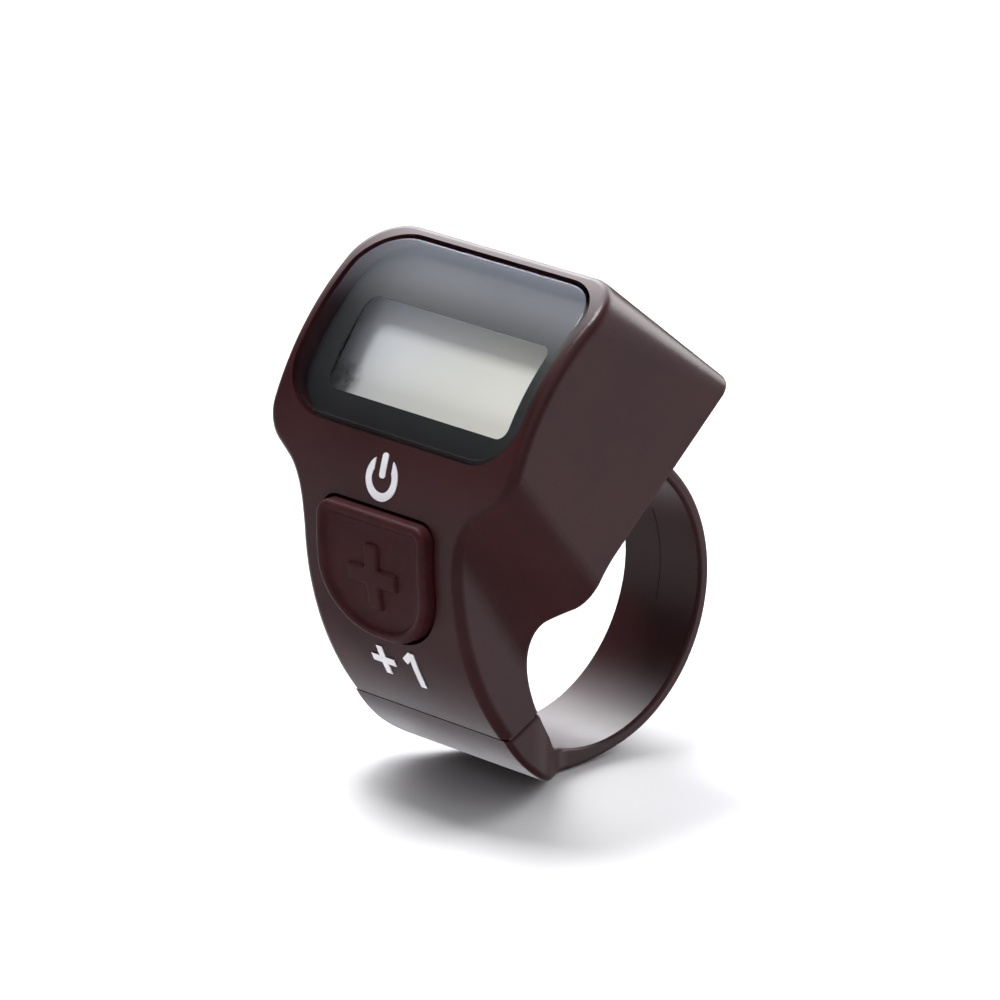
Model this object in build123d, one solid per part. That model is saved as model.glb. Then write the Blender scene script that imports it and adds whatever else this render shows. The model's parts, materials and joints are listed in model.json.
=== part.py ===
from build123d import *
import math
import os

# Electronic tally counter worn as a ring on one finger. Millimetres.
# The origin is the centre of the finger hole. +X runs along the finger, +Z is up,
# and the display, the front strip and the button face -Y.

# ---------------------------------------------------------------- driving dimensions
FINGER_R = 10.0          # finger hole
WALL = 1.2               # housing wall
STRIP_HALF = 7.6         # half width of the front strip
HEAD_HALF_FRONT = 11.8   # half width of the head at its front
HEAD_HALF_BACK = 13.25   # half width of the head at its back
HEAD_CORNER_FRONT = 4.3  # top corners of the head at the face, seen from the display side
HEAD_CORNER_BACK = 0.7   # the same at its back, where they fade into an edge
HEAD_TOP_FRONT = 9.15    # top of the head above the face's centre, at the face
HEAD_TOP_BACK = 7.3      # the same at its back
HEAD_DEPTH = 17.0        # depth at which the back sizes hold
HEAD_LEAD = 1.0          # the block of the head starts this far in front of the face
RIM_ROUND = 0.7          # rounding of the front edge, all the way round
CORNER_LEAST = 0.4       # smallest corner inside the head
BACK_ROUND = 0.3         # rounding of the edges round the underside and the finger hole

# The front surface is two arcs about the X direction, tangent at the level FRONT_Z.
FRONT_Z = 7.5
FRONT_Y = -16.5
FRONT_R_HIGH = 18.95
FRONT_R_LOW = 21.65
HIGH_ARC_END = 100.0     # direction of the high arc's end, past the top of the head
HIGH_CENTRE = (FRONT_Y + FRONT_R_HIGH, FRONT_Z)
LOW_CENTRE = (FRONT_Y + FRONT_R_LOW, FRONT_Z)

# The display frame: centre of the display face, local X along +X, local Y up the face,
# local Z out of the face. Depths are counted inwards from the face.
FACE_TILT = 53.4         # degrees between the face and the horizontal
FACE_CENTRE = (-12.2, 19.5)
FACE_SIN = math.sin(math.radians(FACE_TILT))
FACE_COS = math.cos(math.radians(FACE_TILT))
FACE = Plane(
    origin=(0, FACE_CENTRE[0], FACE_CENTRE[1]),
    x_dir=(1, 0, 0),
    z_dir=(0, -FACE_SIN, FACE_COS),
)

# Seen from the display side, each edge of the head narrows into the strip: two tangent
# arcs with a slanted line between them, which move down the face with depth.
FLARE_START = -11.1
FLARE_DROP = 0.345
FLARE_ANGLE = 62.2
FLARE_R_NARROW = 3.3
FLARE_R_WIDE = 2.7

# Finger band
SEAM_ANGLE = -154.0      # joint between the front and the ring housing, about X from +Y
SEAM_GAP = 0.14
BAND_HALF = 3.72
BAND_OUTER_R = 10.95     # outside of the band at the back
BAND_BOTTOM = 11.25       # lowest point below the hole's centre
BAND_FRONT_R = 11.2      # arc from the seam to the lowest point
BAND_ROUND = 0.25        # rounding of the band's edges at the finger
BAND_OUTER_ROUND = 0.42  # the same on the outside
NECK_ANGLE = 45.0        # where the band starts to thicken towards the head
NECK_R = 20.0
NECK_ALONG = 12.9        # where the neck ends, along the underside from the finger hole
PLAN = Plane(origin=(0, 0, 0), x_dir=(1, 0, 0), z_dir=(0, 0, -1))
PLAN_START = 2.54
PLAN_ANGLE = 40.0
PLAN_R_NARROW = 2.5
PLAN_R_WIDE = 4.0

# Window and display stack, with depths below the front surface's arc
LENS_WIDTH = 21.25
LENS_HEIGHT = 13.7
LENS_CORNER = 3.4
LENS_UP = 1.0            # centre of the window above the face's centre
LENS_GAP = 0.3           # gap round the window
LENS_RECESS = 0.08
LENS_THICK = 1.3
FILM = 0.1               # printed mask, and adhesive frame
LEDGE = 0.9              # ledge that carries the window
OPENING_WIDTH = 17.25
OPENING_HEIGHT = 7.0
OPENING_CORNER = 0.9
OPENING_UP = -0.27
LENS_FRONT_R = FRONT_R_HIGH - LENS_RECESS
LENS_BACK_R = LENS_FRONT_R - LENS_THICK
MASK_BACK_R = LENS_BACK_R - FILM
POCKET_R = MASK_BACK_R - FILM
LEDGE_R = POCKET_R - LEDGE

# Flat layers behind the window: depths below the face
POLARIZER_DEPTH = 3.15
POLARIZER_THICK = 0.2
POLARIZER_WIDTH = 20.4
POLARIZER_TOP = 3.6
POLARIZER_BOTTOM = -3.9
REFLECTOR_THICK = 0.1
REFLECTOR_MARGIN = 0.3
GLASS_THICK = 0.7
GLASS_WIDTH = 20.7
GLASS_TOP = 3.85
FRONT_GLASS_BOTTOM = -4.95
REAR_GLASS_BOTTOM = -3.95
FRAME_WIDTH = 21.4
FRAME_TOP = 4.3
FRAME_BOTTOM = -5.35
BOARD_DEPTH = 6.5
BOARD_THICK = 0.8
BOARD_WIDTH = 20.6
BOARD_TOP = 6.35
BOARD_BOTTOM = -7.4
BOARD_CORNER = 1.0
CONTACT_WIDTH = 18.0
CONTACT_LOW = -4.85
CONTACT_HIGH = -4.1
BLOB_R = 2.6
BLOB_RISE = 0.9
CRYSTAL_R = 0.75
CRYSTAL_LENGTH = 5.0
CRYSTAL_UP = -0.5
CAPACITOR = (0.6, 1.0, 0.6)  # across, along and off the board
CAPACITOR_UPS = (-3.6, -2.2, 2.4)
BOARD_PART_X = 8.0
CELL_R = 5.0
CELL_THICK = 2.5
CELL_DEPTH = 7.6
CELL_UP = -0.2
CELL_STEP = 0.3          # the smaller terminal stands this far out of the can
CELL_STEP_IN = 1.2       # and is this much smaller in radius
CELL_ROUND = 0.25
TRAY_R = 5.9
TRAY_SHORT = 0.3         # the tray ends this far short of the cell's back
TRAY_SLOT = 1.6          # half width of its slot
TRAY_SLOT_X = 2.4        # its slot starts this far to the side
MINUS_LENGTH = 6.0       # contact under the cell
MINUS_HALF = 1.0
MINUS_POINT_X = 1.8
MINUS_POINT_R = 0.7
PLUS_HALF = 1.2          # contact over the cell
PLUS_REACH = 3.0         # it reaches this far past the cell's middle
PLUS_LEG = 0.6           # its leg stands this far outside the tray
PLUS_FOOT = 0.9
STRIP_METAL = 0.15       # sheet metal of contacts and covers
GLASS_DEPTH = POLARIZER_DEPTH + POLARIZER_THICK
REAR_GLASS_DEPTH = GLASS_DEPTH + GLASS_THICK
REFLECTOR_DEPTH = REAR_GLASS_DEPTH + GLASS_THICK
REFLECTOR_BACK = REFLECTOR_DEPTH + REFLECTOR_THICK
BOARD_BACK = BOARD_DEPTH + BOARD_THICK
CELL_BACK = CELL_DEPTH + CELL_THICK
LENS_LAYER_REACH = 6.0   # depth of the prisms that cut the curved layers
LEDGE_MARGIN_SIDE = 1.5  # the ledge's opening clears the mask's opening by this at the sides
LEDGE_MARGIN_UP = 0.8    # the same at its top and bottom

# Bosses of the front housing and the screws in them, square to the display face
BOSS_X = 8.7
BOSS_TOP = 4.95
BOSS_LOW = -6.5
BOSS_R = 1.0
PILOT_R = 0.4
PILOT_TOP = 4.6
SCREW_R = 0.37
SCREW_HEAD_R = 0.9
SCREW_HEAD = 0.55
SCREW_TIP = 4.8
SCREW_ROUND = 0.15
RECESS_LENGTH = 1.1      # arms of the cross recess
RECESS_WIDTH = 0.25
RECESS_DEPTH = 0.3
CLEAR_R = 0.5
COUNTERBORE_R = 1.05
COUNTERBORE = 0.9
PILLAR_R = 1.5

# Button, seen from the front; it slides along +Y
BUTTON_HALF = 5.35
BUTTON_TOP = 9.6
BUTTON_BOTTOM = 0.3
BUTTON_CORNER = 1.3
BUTTON_ROUND = 4.6
BUTTON_GAP = 0.15
BUTTON_PROUD = 0.85
BUTTON_BORDER = 0.9
BUTTON_RECESS = 0.35
BUTTON_LIP = 0.5         # the flange reaches this far past the cap
BUTTON_FLANGE = 0.5      # its thickness
BUTTON_LIP_GAP = 0.1     # between the flange and the inside of the wall
PLUS_SIZE = 4.6          # raised sign on the button
PLUS_ARM = 1.2
PLUS_RECESS = 0.1        # top of the sign below the border
BUTTON_SHOULDER = 1.55   # the round bottom passes this far inside the sides
BUTTON_SHOULDER_RISE = 1.3

# Press switch behind the button
SWITCH_Z = 5.0
SWITCH_HALF = 2.1
SWITCH_FRONT = -13.2
SWITCH_DEPTH = 1.2
PLUNGER_R = 1.0
SWITCH_BOARD_FRONT = SWITCH_FRONT + SWITCH_DEPTH
SWITCH_BOARD_THICK = 0.6
SWITCH_BOARD_LOW = 1.4
SWITCH_BOARD_HIGH = 8.6
SWITCH_BOARD_WIDTH = 10.0
SWITCH_BOARD_BACK = SWITCH_BOARD_FRONT + SWITCH_BOARD_THICK
SWITCH_BOARD_CORNER = 0.6
SWITCH_POCKET_R = 1.5
SWITCH_POCKET = 0.85
PLUNGER_FLANGE_R = 1.35
PLUNGER_FLANGE = 0.25
PLUNGER_FRONT = -13.9
PLUNGER_GAP = 0.02
PLUNGER_HOLE_GAP = 0.1   # round the plunger in the cover's hole
TAB_WIDTH = 2.0          # tabs of the switch's cover
TAB_DEPTH = 0.9
TERMINAL = (0.6, 0.2, 0.6)
TERMINAL_SPACING = 1.2
STEM_R = 1.5
DOME_R = 1.4
DOME_RISE = 0.55
DOME_SHEET = 0.08
FLEX_THICK = 0.12
FLEX_WIDTH = 5.0
FLEX_TOP = -6.3
FLEX_END_Z = 6.6

# Printed marks
INK = 0.06
MARK_LINE = 0.55         # line width of the marks
POWER_Z = 11.65
POWER_R = 1.5
POWER_BAR = 1.65
POWER_BAR_UP = 0.85      # middle of the bar above the ring's centre
PLUS_ONE_Z = -1.75
FIGURE_HEIGHT = 2.7
FIGURE_SIGN = 2.2
FIGURE_SPACING = 1.6     # sign and figure stand this far either side of the middle

LINER_R = FINGER_R + WALL
FIT = 0.05               # clearance between mouldings of the same body
SINK = 0.1               # joined solids of one piece overlap by this
FAR = 40.0               # half length of construction prisms


# ---------------------------------------------------------------- construction helpers
def polar(radius, degrees):
    """Point in the YZ plane at an angle counted from +Y towards +Z."""
    angle = math.radians(degrees)
    return (radius * math.cos(angle), radius * math.sin(angle))


def yz_prism(edges, half_width):
    """Closed outline in the YZ plane, extruded both ways along X."""
    return extrude(Plane.YZ * make_face(edges), amount=half_width, both=True)


def x_cylinder(centre, radius, half_length=FAR):
    """Cylinder along X about a (y, z) centre."""
    return Pos(0, centre[0], centre[1]) * Rot(0, 90, 0) * Cylinder(radius, 2 * half_length)


def x_shell(centre, outer, inner):
    """Tube along X between two radii."""
    return x_cylinder(centre, outer) - x_cylinder(centre, inner)


def face_prism(sketch, near, far):
    """Flat outline in the display frame, extruded between two depths."""
    return extrude(FACE.offset(-far) * sketch, amount=far - near)


def face_box(width, up_low, up_high, near, far, centre_x=0.0):
    """Box in the display frame."""
    height = up_high - up_low
    outline = Pos(centre_x, (up_low + up_high) / 2) * Rectangle(width, height)
    return face_prism(outline, near, far)


def face_rod(x, up, radius, near, far):
    """Cylinder square to the display face."""
    return face_prism(Pos(x, up) * Circle(radius), near, far)


def flip(point, sign):
    """The point itself, or its mirror image at negative X."""
    return (sign * point[0], point[1])


def waist_points(narrow, wide, start, r_narrow, r_wide, angle=FLARE_ANGLE):
    """Points of one side that widens: a line, an arc, a slanted line, an arc."""
    turn = math.radians(angle)
    half = turn / 2
    b = (narrow + r_narrow * (1 - math.cos(turn)), start + r_narrow * math.sin(turn))
    c_x = wide - r_wide * (1 - math.cos(turn))
    c = (c_x, b[1] + (c_x - b[0]) / math.tan(turn))
    d = (wide, c[1] + r_wide * math.sin(turn))
    ab = (narrow + r_narrow * (1 - math.cos(half)), start + r_narrow * math.sin(half))
    cd = (wide - r_wide * (1 - math.cos(half)), d[1] - r_wide * math.sin(half))
    return [(narrow, -FAR), (narrow, start), ab, b, c, cd, d]


def waist_edges(points, sign):
    """Edges through the points of one widening side, for either sign of X."""
    base, a, ab, b, c, cd, d = [flip(point, sign) for point in points]
    return [Line(base, a), ThreePointArc(a, ab, b), Line(b, c), ThreePointArc(c, cd, d)]


def arc_about(centre, radius, start_angle, end_angle):
    """Arc of a circle in the YZ plane."""
    middle = (start_angle + end_angle) / 2
    points = []
    for angle in (start_angle, middle, end_angle):
        step = polar(radius, angle)
        points.append((centre[0] + step[0], centre[1] + step[1]))
    return ThreePointArc(*points)


def angle_from(centre, point):
    """Direction of a point from a centre, in degrees."""
    return math.degrees(math.atan2(point[1] - centre[1], point[0] - centre[0])) % 360


def seam_radius(front_r):
    """Distance from the hole's centre to the low front arc along the seam."""
    step = polar(1.0, SEAM_ANGLE)
    along = step[0] * LOW_CENTRE[0] + step[1] * LOW_CENTRE[1]
    square = LOW_CENTRE[0] ** 2 + LOW_CENTRE[1] ** 2 - front_r ** 2
    return along + math.sqrt(along ** 2 - square)


# ---------------------------------------------------------------- outer form
# The underside of the head is a plane tangent to the finger hole.
UNDERSIDE_ANGLE = 132.6
UNDERSIDE = Plane(
    origin=(0, *polar(FINGER_R, UNDERSIDE_ANGLE)),
    x_dir=(1, 0, 0),
    z_dir=(0, *polar(1.0, UNDERSIDE_ANGLE)),
)


def underside_point(along, lift=0.0):
    """Point on the underside in the YZ plane, along it towards the back and lifted off it."""
    foot = polar(FINGER_R + lift, UNDERSIDE_ANGLE)
    step = polar(along, UNDERSIDE_ANGLE - 90)
    return (foot[0] + step[0], foot[1] + step[1])


def face_point(up, depth):
    """Point in the YZ plane from a height up the face and a depth below it."""
    y = FACE_CENTRE[0] + up * FACE_COS + depth * FACE_SIN
    z = FACE_CENTRE[1] + up * FACE_SIN - depth * FACE_COS
    return (y, z)


def side_profile(inset):
    """Outline of the head and strip from the side; inset moves its front inwards."""
    seam_end = polar(seam_radius(FRONT_R_LOW), SEAM_ANGLE)
    bottom = arc_about(LOW_CENTRE, FRONT_R_LOW - inset, 180, angle_from(LOW_CENTRE, seam_end))
    top = arc_about(HIGH_CENTRE, FRONT_R_HIGH - inset, 180, HIGH_ARC_END)
    low_end = tuple(bottom @ 1)[:2]
    high_end = tuple(top @ 1)[:2]
    foot = underside_point(0)
    far_under = underside_point(FAR)
    return [
        bottom,
        top,
        Line(high_end, (far_under[0], high_end[1])),
        Line((far_under[0], high_end[1]), far_under),
        Line(far_under, foot),
        Line(foot, (0, 0)),
        Line((0, 0), low_end),
    ]


def front_outline(depth, inset):
    """Section of the head and strip parallel to the display face, at a depth below it."""
    share = depth / HEAD_DEPTH
    wide = HEAD_HALF_FRONT + share * (HEAD_HALF_BACK - HEAD_HALF_FRONT) - inset
    top = HEAD_TOP_FRONT + share * (HEAD_TOP_BACK - HEAD_TOP_FRONT) - inset
    corner = HEAD_CORNER_FRONT + share * (HEAD_CORNER_BACK - HEAD_CORNER_FRONT)
    corner = max(corner - inset, CORNER_LEAST)
    start = FLARE_START - depth * FLARE_DROP
    points = waist_points(STRIP_HALF - inset, wide, start, FLARE_R_NARROW + inset, FLARE_R_WIDE - inset)
    top_side = (wide, top - corner)
    slant = corner * (1 - math.sqrt(0.5))
    top_middle = (wide - slant, top - slant)
    top_end = (wide - corner, top)

    def side(sign):
        edges = waist_edges(points, sign)
        edges.append(Line(flip(points[-1], sign), flip(top_side, sign)))
        edges.append(ThreePointArc(flip(top_side, sign), flip(top_middle, sign), flip(top_end, sign)))
        return edges

    ends = [
        Line((inset - STRIP_HALF, -FAR), (STRIP_HALF - inset, -FAR)),
        Line((corner - wide, top), (wide - corner, top)),
    ]
    return make_face(side(1) + side(-1) + ends)


def front_block(inset):
    """Ruled block of the head and strip: its sides open out and its top closes in with depth."""
    near = FACE.offset(HEAD_LEAD) * front_outline(-HEAD_LEAD, inset)
    far = FACE.offset(-HEAD_DEPTH) * front_outline(HEAD_DEPTH, inset)
    return loft([near, far], ruled=True)


def edges_near(shape, distance, reach):
    """Edges whose ends and middle all lie within reach of a surface given by its distance."""
    found = ShapeList()
    for edge in shape.edges():
        places = [edge @ 0.03, edge @ 0.5, edge @ 0.97]
        if all(abs(distance(place)) < reach for place in places):
            found.append(edge)
    return found


def from_front(point):
    """Distance of a point from the front surface."""
    centre, radius = LOW_CENTRE, FRONT_R_LOW
    if point.Z > FRONT_Z:
        centre, radius = HIGH_CENTRE, FRONT_R_HIGH
    return math.hypot(point.Y - centre[0], point.Z - centre[1]) - radius


def from_back(point):
    """Distance of a point from the underside of the head, and below it from the finger hole."""
    if angle_from((0, 0), (point.Y, point.Z)) < UNDERSIDE_ANGLE:
        return (point - UNDERSIDE.origin).dot(UNDERSIDE.z_dir)
    return from_hole(point)


def from_hole(point):
    """Distance of a point from the finger hole."""
    return math.hypot(point.Y, point.Z) - FINGER_R


def runs_across(edge):
    """True for an edge that crosses the middle plane in the lower half of the front."""
    return abs((edge @ 0.5).X) < 0.1 and (edge @ 0.5).Z < FRONT_Z + 5


def front_form():
    """Solid outer form of the head and strip, rounded, with the finger hole cut out."""
    body = yz_prism(side_profile(0), HEAD_HALF_BACK + 2) & front_block(0)
    body = body - x_cylinder((0, 0), FINGER_R)
    rim = [edge for edge in edges_near(body, from_front, 0.05) if not runs_across(edge)]
    body = fillet(rim, RIM_ROUND)
    back = [edge for edge in edges_near(body, from_back, 0.02) if not runs_across(edge)]
    return fillet(back, BACK_ROUND)


def seam_plane():
    """Plane of the seam, facing the band."""
    return Plane(origin=(0, 0, 0), x_dir=(1, 0, 0), z_dir=(0, *polar(1.0, SEAM_ANGLE + 90)))


def front_cavity():
    """Hollow of the front housing, open towards the finger hole and the underside."""
    outline = side_profile(WALL)
    hollow = yz_prism(outline, HEAD_HALF_BACK) & front_block(WALL)
    keep_up = extrude(seam_plane().offset(-WALL) * Rectangle(2 * FAR, 2 * FAR), amount=-2 * FAR)
    hollow = hollow & keep_up
    ledge = x_shell(HIGH_CENTRE, FRONT_R_HIGH, LEDGE_R)
    ledge = ledge & face_box(2 * FAR, LENS_UP - LENS_HEIGHT / 2 - WALL, FAR, -FAR, FAR / 2)
    return hollow - ledge


# ---------------------------------------------------------------- housings
def lens_outline(margin):
    """Rounded outline of the window, in the display frame, larger by a margin."""
    size = RectangleRounded(LENS_WIDTH + 2 * margin, LENS_HEIGHT + 2 * margin, LENS_CORNER + margin)
    return Pos(0, LENS_UP) * size


def opening_outline(side=0.0, up=0.0):
    """Clear opening in the mask, larger by a margin at the sides, and at the top and bottom."""
    width = OPENING_WIDTH + 2 * side
    height = OPENING_HEIGHT + 2 * up
    return Pos(0, OPENING_UP) * RectangleRounded(width, height, OPENING_CORNER + up)


def window_layer(outline, outer_r, inner_r):
    """Part of a shell that follows the front surface, cut to an outline of the display frame."""
    prism = face_prism(outline, -2, LENS_LAYER_REACH)
    return prism & x_shell(HIGH_CENTRE, outer_r, inner_r)


def button_outline(margin):
    """Shield outline of the button in X and Z: straight top and sides, round bottom."""
    half = BUTTON_HALF
    low = BUTTON_BOTTOM + BUTTON_ROUND
    shoulder = (half - BUTTON_SHOULDER, BUTTON_BOTTOM + BUTTON_SHOULDER_RISE)
    edges = [
        Line((-half, BUTTON_TOP), (half, BUTTON_TOP)),
        Line((half, BUTTON_TOP), (half, low)),
        ThreePointArc((half, low), shoulder, (0, BUTTON_BOTTOM)),
        ThreePointArc((0, BUTTON_BOTTOM), flip(shoulder, -1), (-half, low)),
        Line((-half, low), (-half, BUTTON_TOP)),
    ]
    outline = make_face(edges)
    top = outline.vertices().group_by(Axis.Y)[-1]
    outline = fillet(top, BUTTON_CORNER)
    if margin == 0:
        return outline
    return offset(outline, margin, kind=Kind.ARC)


def front_prism(outline, front_y, back_y):
    """Outline in X and Z, extruded along Y between two places."""
    plane = Plane(origin=(0, back_y, 0), x_dir=(1, 0, 0), z_dir=(0, -1, 0))
    return extrude(plane * outline, amount=back_y - front_y)


def front_shell(outer_inset, inner_inset):
    """Shell that follows both arcs of the front surface, between two insets from it."""
    high = x_shell(HIGH_CENTRE, FRONT_R_HIGH - outer_inset, FRONT_R_HIGH - inner_inset)
    low = x_shell(LOW_CENTRE, FRONT_R_LOW - outer_inset, FRONT_R_LOW - inner_inset)
    half = Box(2 * FAR, 2 * FAR, FAR)
    return (high & Pos(0, 0, FRONT_Z + FAR / 2) * half) + (low & Pos(0, 0, FRONT_Z - FAR / 2) * half)


def front_layer(outline, outer_inset, inner_inset):
    """Part of a shell that follows the front surface, cut to an outline in X and Z."""
    return front_prism(outline, FRONT_Y - 3, 0) & front_shell(outer_inset, inner_inset)


def boss_places():
    """Places of the four bosses, to the sides and up the display face."""
    return [(BOSS_X, BOSS_TOP), (-BOSS_X, BOSS_TOP), (BOSS_X, BOSS_LOW), (-BOSS_X, BOSS_LOW)]


def front_housing():
    """Front moulding: head, strip and side walls, with the window's pocket and the bosses."""
    hollow = front_cavity()
    shell = front_form() - hollow
    shell = shell - window_layer(lens_outline(LENS_GAP), FRONT_R_HIGH + 2, POCKET_R)
    ledge_opening = opening_outline(LEDGE_MARGIN_SIDE, LEDGE_MARGIN_UP)
    shell = shell - face_prism(ledge_opening, 0, BOARD_DEPTH)
    shell = shell - front_prism(button_outline(BUTTON_GAP), FRONT_Y - 2, FRONT_Y + 4)
    for x, up in boss_places():
        shell = shell + (face_rod(x, up, BOSS_R, 2, BOARD_DEPTH) & hollow)
    for x, up in boss_places():
        shell = shell - face_rod(x, up, PILOT_R, PILOT_TOP, BOARD_DEPTH)
    return shell


def underside_depth(up):
    """Depth below the face at which the underside plane lies."""
    normal = polar(1.0, UNDERSIDE_ANGLE)
    start = face_point(up, 0)
    foot = underside_point(0)
    height = (start[0] - foot[0]) * normal[0] + (start[1] - foot[1]) * normal[1]
    return -height / (FACE_SIN * normal[0] - FACE_COS * normal[1])


def back_plate():
    """Plate that closes the underside of the head, inside its walls."""
    slab = extrude(UNDERSIDE * (Pos(0, FAR / 2) * Rectangle(2 * FAR, FAR)), amount=WALL)
    return slab & front_block(WALL + FIT)


def liner():
    """Curved wall between the finger and the inside of the strip."""
    wall = x_shell((0, 0), LINER_R, FINGER_R)
    corners = [(0, 0), polar(FAR, UNDERSIDE_ANGLE), polar(2 * FAR, 180), polar(FAR, SEAM_ANGLE)]
    wedge = extrude(Plane.YZ * make_face(Polyline(*corners, close=True)), amount=FAR, both=True)
    seam_wall = seam_plane().offset(-WALL - FIT)
    above_seam = extrude(seam_wall * Rectangle(2 * FAR, 2 * FAR), amount=-2 * FAR)
    return wall & wedge & above_seam & front_block(WALL + FIT)


def band_profile():
    """Outline of the band from the side, as far as the seam and the underside of the head."""
    seam = SEAM_ANGLE + math.degrees(SEAM_GAP / seam_radius(FRONT_R_LOW))
    step = polar(1.0, seam)
    along = step[0] * LOW_CENTRE[0] + step[1] * LOW_CENTRE[1]
    reach = along + math.sqrt(along ** 2 - LOW_CENTRE[0] ** 2 - LOW_CENTRE[1] ** 2 + FRONT_R_LOW ** 2)
    start = polar(reach, seam)
    centre_z = BAND_FRONT_R - BAND_BOTTOM
    centre_y = start[0] + math.sqrt(BAND_FRONT_R ** 2 - (start[1] - centre_z) ** 2)
    front_centre = (centre_y, centre_z)
    back_r = (centre_y ** 2 + BAND_BOTTOM ** 2 - BAND_OUTER_R ** 2) / 2 / (BAND_BOTTOM - BAND_OUTER_R)
    back_centre = (centre_y, back_r - BAND_BOTTOM)
    join = angle_from(back_centre, (0, 0))
    neck_start = polar(BAND_OUTER_R, NECK_ANGLE)
    neck_centre = polar(BAND_OUTER_R + NECK_R, NECK_ANGLE)
    neck_end = underside_point(NECK_ALONG, WALL / 2)
    neck_middle_angle = (180 + NECK_ANGLE + angle_from(neck_centre, neck_end)) / 2
    bulge = polar(NECK_R, neck_middle_angle)
    neck_middle = (neck_centre[0] + bulge[0], neck_centre[1] + bulge[1])
    foot = underside_point(0, WALL / 2)
    return [
        arc_about(front_centre, BAND_FRONT_R, angle_from(front_centre, start), 270),
        arc_about(back_centre, back_r, 270, join),
        arc_about((0, 0), BAND_OUTER_R, join, 360 + NECK_ANGLE),
        ThreePointArc(neck_start, neck_middle, neck_end),
        Line(neck_end, foot),
        Line(foot, (0, 0)),
        Line((0, 0), start),
    ]


def band():
    """Finger band: wide at the seam, narrow round the back, thicker where it meets the head."""
    points = waist_points(BAND_HALF, STRIP_HALF, PLAN_START, PLAN_R_NARROW, PLAN_R_WIDE, PLAN_ANGLE)
    right = waist_edges(points, 1)
    left = waist_edges(points, -1)
    ends = [
        Line((-BAND_HALF, -FAR), (BAND_HALF, -FAR)),
        Line((-STRIP_HALF, FAR), (STRIP_HALF, FAR)),
    ]
    right.append(Line(points[-1], (STRIP_HALF, FAR)))
    left.append(Line(flip(points[-1], -1), (-STRIP_HALF, FAR)))
    plan = extrude(PLAN * make_face(right + left + ends), amount=FAR)
    plan = plan + Pos(0, 0, FAR / 2) * Box(2 * BAND_HALF, 2 * FAR, FAR)
    shape = yz_prism(band_profile(), FAR) & plan
    shape = shape - x_cylinder((0, 0), FINGER_R)
    curved = [edge for edge in shape.edges() if edge.geom_type != GeomType.LINE]
    sides = [edge for edge in curved if abs((edge @ 0.5).X) > BAND_HALF - 0.1]
    outer = [edge for edge in sides if from_hole(edge @ 0.5) > 0.05]
    shape = fillet(outer, BAND_OUTER_ROUND)
    inner = [edge for edge in edges_near(shape, from_hole, 0.05) if edge.geom_type != GeomType.LINE]
    return fillet(inner, BAND_ROUND)


def pillar_places():
    """Places of the two case screws, to the sides and up the display face."""
    return [(BOSS_X, BOSS_TOP), (-BOSS_X, BOSS_TOP)]


def ring_housing():
    """Rear moulding: finger band, liner behind the strip, plate under the head, two pillars."""
    plate = back_plate()
    shell = band() + plate + liner()
    for x, up in pillar_places():
        end = underside_depth(up) - WALL / 2
        shell = shell + (face_rod(x, up, PILLAR_R, BOARD_BACK, end) & front_block(WALL + FIT))
    for x, up in pillar_places():
        end = underside_depth(up)
        shell = shell - face_rod(x, up, CLEAR_R, BOARD_BACK - 1, end + 2)
        shell = shell - face_rod(x, up, COUNTERBORE_R, end - COUNTERBORE, end + 2)
    return shell


# ---------------------------------------------------------------- window and display
def lens():
    """Curved clear window that follows the front surface."""
    return window_layer(lens_outline(0), LENS_FRONT_R, LENS_BACK_R)


def display_mask():
    """Opaque printed layer behind the window, with the clear opening."""
    film = window_layer(lens_outline(0), LENS_BACK_R, MASK_BACK_R)
    return film - face_prism(opening_outline(), -2, LENS_LAYER_REACH)


def window_adhesive():
    """Frame-shaped adhesive between the mask and the ledge of the pocket."""
    film = window_layer(lens_outline(-FIT), MASK_BACK_R, POCKET_R)
    ledge_opening = opening_outline(LEDGE_MARGIN_SIDE, LEDGE_MARGIN_UP)
    return film - face_prism(ledge_opening, -2, LENS_LAYER_REACH)


def lcd_polarizer():
    """Front polarizer, seen through the opening."""
    return face_box(POLARIZER_WIDTH, POLARIZER_BOTTOM, POLARIZER_TOP, POLARIZER_DEPTH, GLASS_DEPTH)


def lcd_front_glass():
    """Front glass of the display, with the contact edge at its bottom."""
    return face_box(GLASS_WIDTH, FRONT_GLASS_BOTTOM, GLASS_TOP, GLASS_DEPTH, REAR_GLASS_DEPTH)


def lcd_rear_glass():
    """Rear glass of the display."""
    return face_box(GLASS_WIDTH, REAR_GLASS_BOTTOM, GLASS_TOP, REAR_GLASS_DEPTH, REFLECTOR_DEPTH)


def lcd_reflector():
    """Reflective film on the back of the display."""
    low = REAR_GLASS_BOTTOM + REFLECTOR_MARGIN
    high = GLASS_TOP - REFLECTOR_MARGIN
    return face_box(GLASS_WIDTH - 2 * REFLECTOR_MARGIN, low, high, REFLECTOR_DEPTH, REFLECTOR_BACK)


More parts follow.
